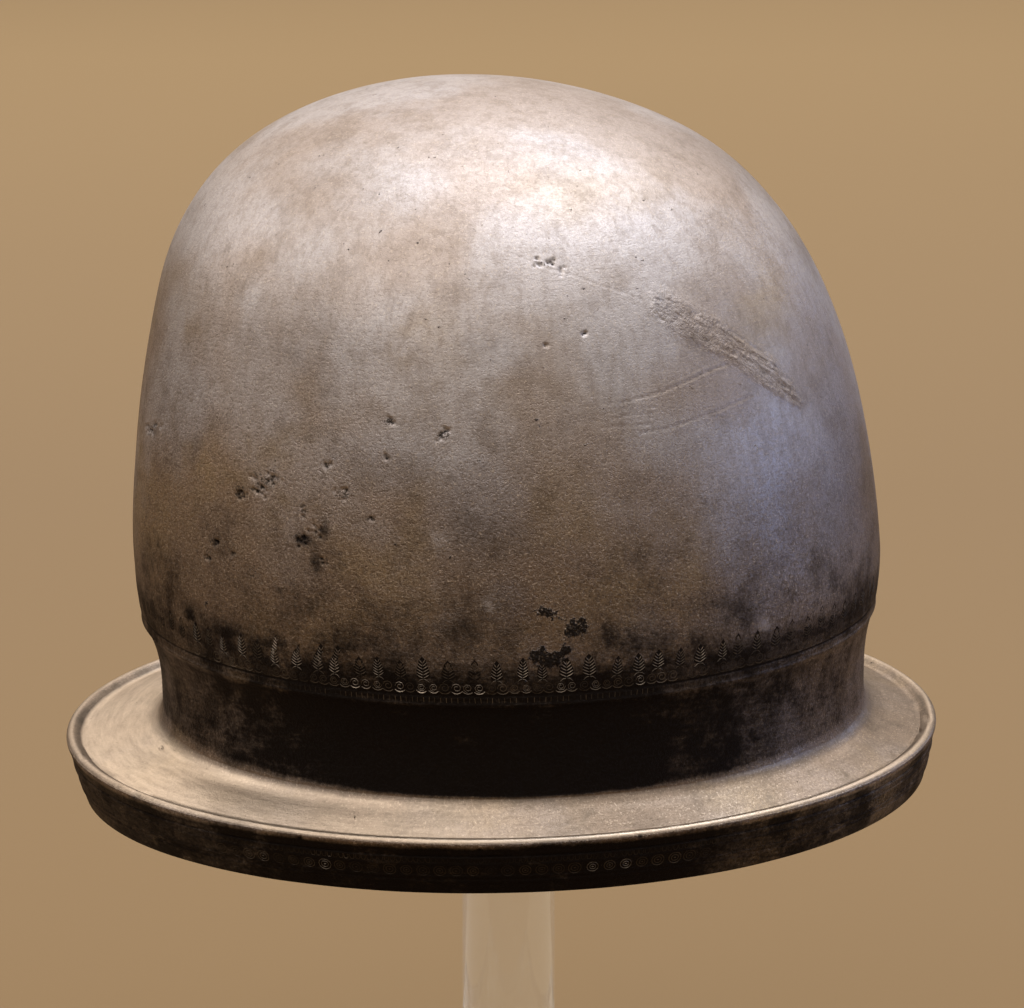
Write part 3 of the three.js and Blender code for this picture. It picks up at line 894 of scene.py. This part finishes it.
def stamp_row(name, places, facing, stamps, press, kinds=0, sizes=1):
    """Sets stamps on places, presses them onto the bronze and keeps them as a plain piece."""
    count = len(places)
    guide_mesh = bpy.data.meshes.new(name + "_guide")
    guide_mesh.from_pydata(places.tolist(), [], [])
    store(guide_mesh, "facing", facing, "FLOAT_VECTOR")
    store(guide_mesh, "size", np.broadcast_to(sizes, (count, 3)), "FLOAT_VECTOR")
    store(guide_mesh, "kind", np.broadcast_to(kinds, count), "INT")
    store(guide_mesh, "press", press)
    guide = set_down(name + "_guide", guide_mesh)

    tree = bpy.data.node_groups.new(name, "GeometryNodeTree")
    for way in ("INPUT", "OUTPUT"):
        tree.interface.new_socket("Geometry", in_out=way, socket_type="NodeSocketGeometry")
    start = Wire(tree)
    join = tree.nodes.new("GeometryNodeJoinGeometry")
    for stamp in reversed(stamps):
        shape = start.node(
            "GeometryNodeObjectInfo", {"Object": stamp, "As Instance": True},
            output="Geometry",
        )
        tree.links.new(shape.socket, join.inputs[0])

    def named(label, kind="FLOAT"):
        return start.node("GeometryNodeInputNamedAttribute", {"Name": label}, data_type=kind)

    set_out = start.node("GeometryNodeInstanceOnPoints", {
        "Points": start.node("NodeGroupInput"),
        "Instance": Wire(tree, join.outputs[0]),
        "Pick Instance": True,
        "Instance Index": named("kind", "INT"),
        "Rotation": named("facing", "FLOAT_VECTOR"),
        "Scale": named("size", "FLOAT_VECTOR"),
    })
    real = start.node("GeometryNodeRealizeInstances", {"Geometry": set_out})
    wall = start.node("GeometryNodeObjectInfo", {"Object": shell}, output="Geometry")
    at = start.node("GeometryNodeInputPosition")
    nearest = start.node(
        "GeometryNodeProximity", {0: wall}, output="Position", target_element="FACES",
    )
    outward = start.node("GeometryNodeSampleNearestSurface", {
        "Mesh": wall, "Value": start.node("GeometryNodeInputNormal"), "Sample Position": at,
    }, data_type="FLOAT_VECTOR")
    lift = named("proud") * named("press")
    pressed = start.node("ShaderNodeVectorMath", {
        0: outward, "Scale": lift * MM,
    }, operation="SCALE")
    moved = start.node("ShaderNodeVectorMath", {0: nearest, 1: pressed}, operation="ADD")
    laid = start.node("GeometryNodeSetPosition", {"Geometry": real, "Position": moved})
    shaded = start.node("GeometryNodeStoreNamedAttribute", {
        "Geometry": laid, "Name": "bright", "Value": named("bright") * named("press"),
    }, data_type="FLOAT", domain="POINT")
    finished = start.node("GeometryNodeSetMaterial", {"Geometry": shaded, "Material": bronze})
    start.node("NodeGroupOutput", {"Geometry": finished})

    guide.modifiers.new("stamps", "NODES").node_group = tree
    seen = guide.evaluated_get(bpy.context.evaluated_depsgraph_get())
    mesh = bpy.data.meshes.new_from_object(seen)
    mesh.name = name
    for spent in (guide, *stamps):
        bpy.data.objects.remove(spent)
    bpy.data.node_groups.remove(tree)
    for label in ("facing", "size", "kind", "press", "proud"):
        if label in mesh.attributes:
            mesh.attributes.remove(mesh.attributes[label])
    store(mesh, "dark", 0.9 - 0.6 * fetch(mesh, "bright"))
    row = set_down(name, mesh)
    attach(row, "root")


LEAF_HALVES = (1.65, 1.65, 1.55, 1.35, 1.1, 0.75)
LEAF_RISE = 0.84


def palmette(name, leaves, spread):
    stamp = Stamp()
    tall = 0.5 + LEAF_RISE * leaves
    stamp.bed(
        [(-0.5, -0.5), (0.5, -0.5), (1.9 * spread, 0.6), (1.85 * spread, 0.5 * tall),
         (1.0 * spread, tall + 0.3), (0, tall + 1.4), (-1.0 * spread, tall + 0.3),
         (-1.85 * spread, 0.5 * tall), (-1.9 * spread, 0.6)],
        (0, 0.45 * tall),
    )
    for side in (-1, 1):
        for k in range(leaves):
            half = LEAF_HALVES[k + 6 - leaves] * spread * side
            foot = 0.5 + LEAF_RISE * k
            stamp.strip(
                [(0.08 * side, foot), (0.55 * half, foot + 0.42), (half, foot + 0.95)],
                0.19, 0.22, 0.72,
            )
        stamp.strip(
            [(0.1 * side, 0.1), (0.8 * side, -0.05), (1.5 * side, -0.75)], 0.15, 0.2, 0.5,
        )
    return stamp.mould(name)


PALMETTE_FOOT = 7.5
places, facing, rng = stamp_places(PALMETTE_FOOT, pitch=6.5, jitter=0.13, seed=11)

# Near the front, on the photo's side, a few were struck twice over.
across, down = photo_pixels(places)
twice = (across > 272) & (across < 335) & (places[:, 1] < 0)
again = places[twice] + np.array((0.0012, 0, 0.0021))
again_facing = facing[twice] + np.array((0, 0, 0.35))
places = np.concatenate((places, again))
facing = np.concatenate((facing, again_facing))
count = len(places)
places[:, 2] += rng.normal(0, 0.25, count) * MM
scale = rng.uniform(0.9, 1.08, count)
sizes = np.column_stack((scale * rng.uniform(0.9, 1.1, count), scale, np.ones(count)))
press = np.clip(rng.normal(0.82, 0.24, count), 0.2, 1.0)
press *= rubbed(places, seed=3.0, least=0.4)
stamps = (
    palmette("tall_palmette", 6, 1.0), palmette("slim_palmette", 5, 0.9),
    palmette("short_palmette", 5, 1.0),
)
kinds = rng.integers(0, 3, count)
stamp_row("frieze_palmettes", places, facing, stamps, press, kinds, sizes)

# The frieze's spirals: a running row of ringed coils under the palmettes, two to each,
# standing on a scalloped line.
SPIRAL_MIDDLE = 5.3


def spiral(name, coils, size):
    stamp = Stamp()
    turns_round = np.linspace(0.6, 2 * math.pi * coils, 13)
    radius = size * (0.3 + 1.05 * turns_round / turns_round[-1])
    coil = np.column_stack((radius * np.cos(turns_round), radius * np.sin(turns_round)))
    stamp.strip(coil, 0.16, 0.2, 0.45)
    arc = np.linspace(-0.86, 0.86, 5)
    stamp.strip(
        np.column_stack((1.95 * np.sin(arc), 0.25 - 2.0 * np.cos(arc))), 0.2, 0.22, 0.65,
    )
    return stamp.mould(name)


places, facing, rng = stamp_places(SPIRAL_MIDDLE, pitch=3.2, jitter=0.06, seed=12)
count = len(places)
sizes = np.column_stack([rng.uniform(0.92, 1.06, count)] * 2 + [np.ones(count)])
press = np.clip(rng.normal(0.6, 0.25, count), 0.1, 1.0)
press *= rubbed(places, seed=8.0, least=0.25)
stamps = (
    spiral("full_coil", 1.75, 1.0), spiral("loose_coil", 1.5, 1.05),
    spiral("tight_coil", 2.0, 0.95),
)
kinds = rng.integers(0, 3, count)
stamp_row("frieze_spirals", places, facing, stamps, press, kinds, sizes)

# The frieze's strokes: a close row of short upright bars between its two lines.
STROKE_MIDDLE = 1.55
places, facing, rng = stamp_places(STROKE_MIDDLE, pitch=1.6, jitter=0.08, seed=13)
stroke = Stamp()
stroke.strip([(0, -0.75), (0, 0.75)], 0.3, 0.2, 0.4)
press = np.clip(rng.normal(0.4, 0.2, len(places)), 0.05, 1.0)
press *= rubbed(places, seed=13.0, least=0.1)
stamp_row("frieze_strokes", places, facing, [stroke.mould("stroke")], press)

# The rim's tongues: a close row of small hanging tongues under the groove.
TONGUE_DROP = 6.55
places, facing, rng = stamp_places(-TONGUE_DROP, pitch=1.65, jitter=0.05, seed=14)
tongue = Stamp()
tongue.strip(
    [(-0.62, 0.8), (-0.6, -0.2), (-0.35, -0.75), (0.35, -0.75), (0.6, -0.2), (0.62, 0.8)],
    0.14, 0.2, 0.35,
)
press = np.clip(rng.normal(0.45, 0.2, len(places)), 0.05, 1.0)
press *= rubbed(places, seed=21.0, least=0.15, bare=0.045)
stamp_row("rim_tongues", places, facing, [tongue.mould("tongue")], press)

# The rim's ringed dots: two rings round a boss, in a row between two lines.
DOT_DROP = 9.95
places, facing, rng = stamp_places(-DOT_DROP, pitch=4.7, jitter=0.05, seed=15)
count = len(places)


def ringed_dot(name, outer, inner):
    stamp = Stamp()
    for radius, steps in ((outer, 12), (inner, 9)):
        turns_round = np.linspace(0, 2 * math.pi, steps + 1)
        circle = np.column_stack((radius * np.cos(turns_round), radius * np.sin(turns_round)))
        stamp.strip(circle, 0.16, 0.22, 0.35)
    stamp.strip([(-0.28, 0), (0, 0), (0.28, 0)], 0.3, 0.3, 0.45)
    return stamp.mould(name)


stamps = (
    ringed_dot("ringed_dot", 1.7, 0.9), ringed_dot("wide_ringed_dot", 1.8, 1.05),
    ringed_dot("small_ringed_dot", 1.6, 0.85),
)
kinds = rng.integers(0, 3, count)
press = np.clip(rng.normal(0.5, 0.2, count), 0.08, 1.0)
press *= rubbed(places, seed=25.0, least=0.15, bare=0.045)
stamp_row("rim_ringed_dots", places, facing, stamps, press, kinds)

# The stand's post: clear acrylic, turned and polished. Its foot is let into the base, and
# its broad head, rounded on top, carries the crown from inside.
POST_RADIUS = 14.0
POST_MIDDLE = 2.2
HEAD_RADIUS = 32.0
HEAD_EDGE = 5.0
HEAD_FLARE = 12.0
HEAD_TOP_RADIUS = 105.0
POST_STEPS = 128
post_low, post_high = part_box("stand_post")
post_foot, post_top = post_low[2] / MM, post_high[2] / MM


def head_drop(distance):
    """How far the head's rounded top has fallen at a distance from its middle."""
    return HEAD_TOP_RADIUS - math.sqrt(HEAD_TOP_RADIUS ** 2 - distance ** 2)


edge_foot = post_top - head_drop(HEAD_RADIUS) - HEAD_EDGE
section = [(POST_RADIUS - 0.8, post_foot), (POST_RADIUS - 0.25, post_foot + 0.2)]
section += [(POST_RADIUS, post_foot + 0.9), (POST_RADIUS, edge_foot - HEAD_FLARE)]
for step in np.linspace(0, 1, 11)[1:]:
    section.append((
        POST_RADIUS + (HEAD_RADIUS - 0.5 - POST_RADIUS) * step ** 2,
        edge_foot - HEAD_FLARE * (1 - step) ** 2,
    ))
section.append((HEAD_RADIUS, edge_foot + 0.5))
section.append((HEAD_RADIUS, edge_foot + HEAD_EDGE - 0.6))
for share in np.linspace(0.985, 0.1, 10):
    section.append((HEAD_RADIUS * share, post_top - head_drop(HEAD_RADIUS * share)))


def joined_rings(name, rings, smooth):
    """A closed mesh through rings of points, the lowest first."""
    work = bmesh.new()
    rings = [[work.verts.new(point) for point in ring] for ring in rings]
    for low, high in zip(rings, rings[1:]):
        for k in range(len(low)):
            after = (k + 1) % len(low)
            work.faces.new((low[k], low[after], high[after], high[k])).smooth = smooth
    work.faces.new(rings[0][::-1])
    work.faces.new(rings[-1]).smooth = smooth
    mesh = bpy.data.meshes.new(name)
    work.to_mesh(mesh)
    work.free()
    return mesh


post_turns = [2 * math.pi * k / POST_STEPS for k in range(POST_STEPS)]
post_rings = [
    [((POST_MIDDLE + radius * math.cos(turn)) * MM, radius * math.sin(turn) * MM, height * MM)
     for turn in post_turns]
    for radius, height in section
]
post = set_down("stand_post_acrylic", joined_rings("stand_post_acrylic", post_rings, True))
acrylic, start, place = blank_material("clear_acrylic")
smears = start.noise(place, 60.0, 4.0, 0.6)
start.surface({
    "Base Color": (0.97, 0.985, 0.98, 1),
    "Roughness": 0.015 + 0.05 * smears.step(0.55, 0.8),
    "IOR": 1.49,
    "Transmission Weight": 1.0,
})
post.data.materials.append(acrylic)
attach(post, "root")
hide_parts("stand_post")

# The stand's base: a square plate of the same acrylic, sawn from thick sheet, with its
# corners rounded and its edges chamfered and polished.
BASE_HALF = 80.0
BASE_THICK = 18.0
BASE_CORNER = 6.0
CORNER_STEPS = 12
CHAMFER = 0.9


def base_ring(inset, height):
    """The plate's outline, moved in by inset, at a height."""
    ring = []
    straight = BASE_HALF - BASE_CORNER
    for quarter, (sx, sy) in enumerate(((1, 1), (-1, 1), (-1, -1), (1, -1))):
        for k in range(CORNER_STEPS + 1):
            turn = math.pi / 2 * (quarter + k / CORNER_STEPS)
            ring.append((
                (sx * straight + (BASE_CORNER - inset) * math.cos(turn)) * MM,
                (sy * straight + (BASE_CORNER - inset) * math.sin(turn)) * MM,
                height * MM,
            ))
    return ring


levels = ((CHAMFER, 0), (0, CHAMFER), (0, BASE_THICK - CHAMFER), (CHAMFER, BASE_THICK))
base_rings = [base_ring(*level) for level in levels]
base_mesh = joined_rings("stand_base_acrylic", base_rings, False)
base_mesh.materials.append(acrylic)
base = set_down("stand_base_acrylic", base_mesh)
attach(base, "root")
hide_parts("stand_base")

# The studio: a pale cream shelf under the stand, and a plain sand-coloured floor below it.
# The shelf stops a hair short of the clear base, so that light still gets in between.
FLOOR_HALF = 6.0
FLOOR_DROP = 0.03
SHELF_HALF_WIDTH = 0.45
SHELF_FRONT = -0.09
SHELF_BACK = 0.115


def slab(name, low, high, stops):
    """A plain matt box, its colour changing from front to back; on the floor this is painted light,
    growing towards the back.
    """
    work = bmesh.new()
    bmesh.ops.create_cube(work, size=1)
    for vert in work.verts:
        for axis in range(3):
            vert.co[axis] = low[axis] if vert.co[axis] < 0 else high[axis]
    bmesh.ops.bevel(work, geom=list(work.edges), offset=0.0004, segments=2, affect="EDGES")
    mesh = bpy.data.meshes.new(name)
    work.to_mesh(mesh)
    work.free()
    paint, start, place = blank_material(name + "_paint")
    paper = start.noise(place, 2.2, 2.0, 0.5)
    deep = place.part("Y") * 0.4 + 0.04 * (paper - 0.5)
    colour = start.node("ShaderNodeValToRGB", {0: deep}, stops=stops)
    start.surface({"Base Color": colour, "Roughness": 0.9})
    mesh.materials.append(paint)
    set_down(name, mesh)


# The floor is painted lighter towards the back: painted light.
slab(
    "studio_floor", (-FLOOR_HALF, -FLOOR_HALF, -0.05), (FLOOR_HALF, FLOOR_HALF, -FLOOR_DROP),
    ((0.06, (0.158, 0.092, 0.031)), (0.35, (0.160, 0.097, 0.038)), (0.87, (0.215, 0.138, 0.056))),
)
cream = (0.40, 0.315, 0.20)
slab(
    "studio_shelf", (-SHELF_HALF_WIDTH, SHELF_FRONT, -FLOOR_DROP),
    (SHELF_HALF_WIDTH, SHELF_BACK, -0.0005), ((0.0, cream), (1.0, cream)),
)


# The lights: broad soft ones overhead, in front, on the left, behind on the right, and behind
# the helmet, where the brim's top mirrors it, and two slim cool ones low on the right.
def soft_light(name, place, width, height, power, colour, aim=(0, 0, 0.2)):
    lamp = bpy.data.lights.new(name, "AREA")
    lamp.shape = "RECTANGLE"
    lamp.size = width
    lamp.size_y = height
    lamp.energy = power
    lamp.color = colour
    made = set_down(name, lamp)
    made.location = place
    aim_line = Vector(aim) - Vector(place)
    made.rotation_euler = aim_line.to_track_quat("-Z", "Y").to_euler()
    made.visible_camera = False


soft_light("overhead", (0.32, 0.2, 1.5), 1.4, 1.0, 16, (0.71, 0.82, 1.0))
soft_light("front", (-0.95, -1.3, 1.6), 1.5, 1.1, 8, (1.0, 0.97, 0.95))
soft_light("left", (-1.9, 0.35, 1.15), 1.3, 1.1, 8.5, (1.0, 0.96, 0.93))
soft_light("right_behind", (1.5, 1.35, 1.45), 1.2, 1.3, 8, (1.0, 0.95, 0.92))
soft_light("behind", (-0.6, 2.2, 1.4), 3.0, 1.8, 22, (1.0, 0.93, 0.86), (0, 0, 0.15))
soft_light("cool_right", (1.5, -0.15, 0.22), 0.16, 0.6, 3.2, (0.26, 0.46, 1.0))
soft_light("cool_back_right", (1.2, 0.9, 0.22), 0.14, 0.7, 1.8, (0.26, 0.46, 1.0))

world = bpy.data.worlds.new("studio_air")
world.use_nodes = True
world.node_tree.nodes.clear()
start = Wire(world.node_tree)
upward = start.node("ShaderNodeTexCoord").part("Z")
upward = upward.maths("MAXIMUM", upward, 0.0)
glow = 0.28 + 2.0 * (upward * upward)
air = start.node("ShaderNodeBackground", {
    "Color": (1.0, 0.955, 0.93, 1), "Strength": glow,
})
start.node("ShaderNodeOutputWorld", {"Surface": air})
bpy.context.scene.world = world
bpy.context.scene.view_settings.view_transform = "Standard"
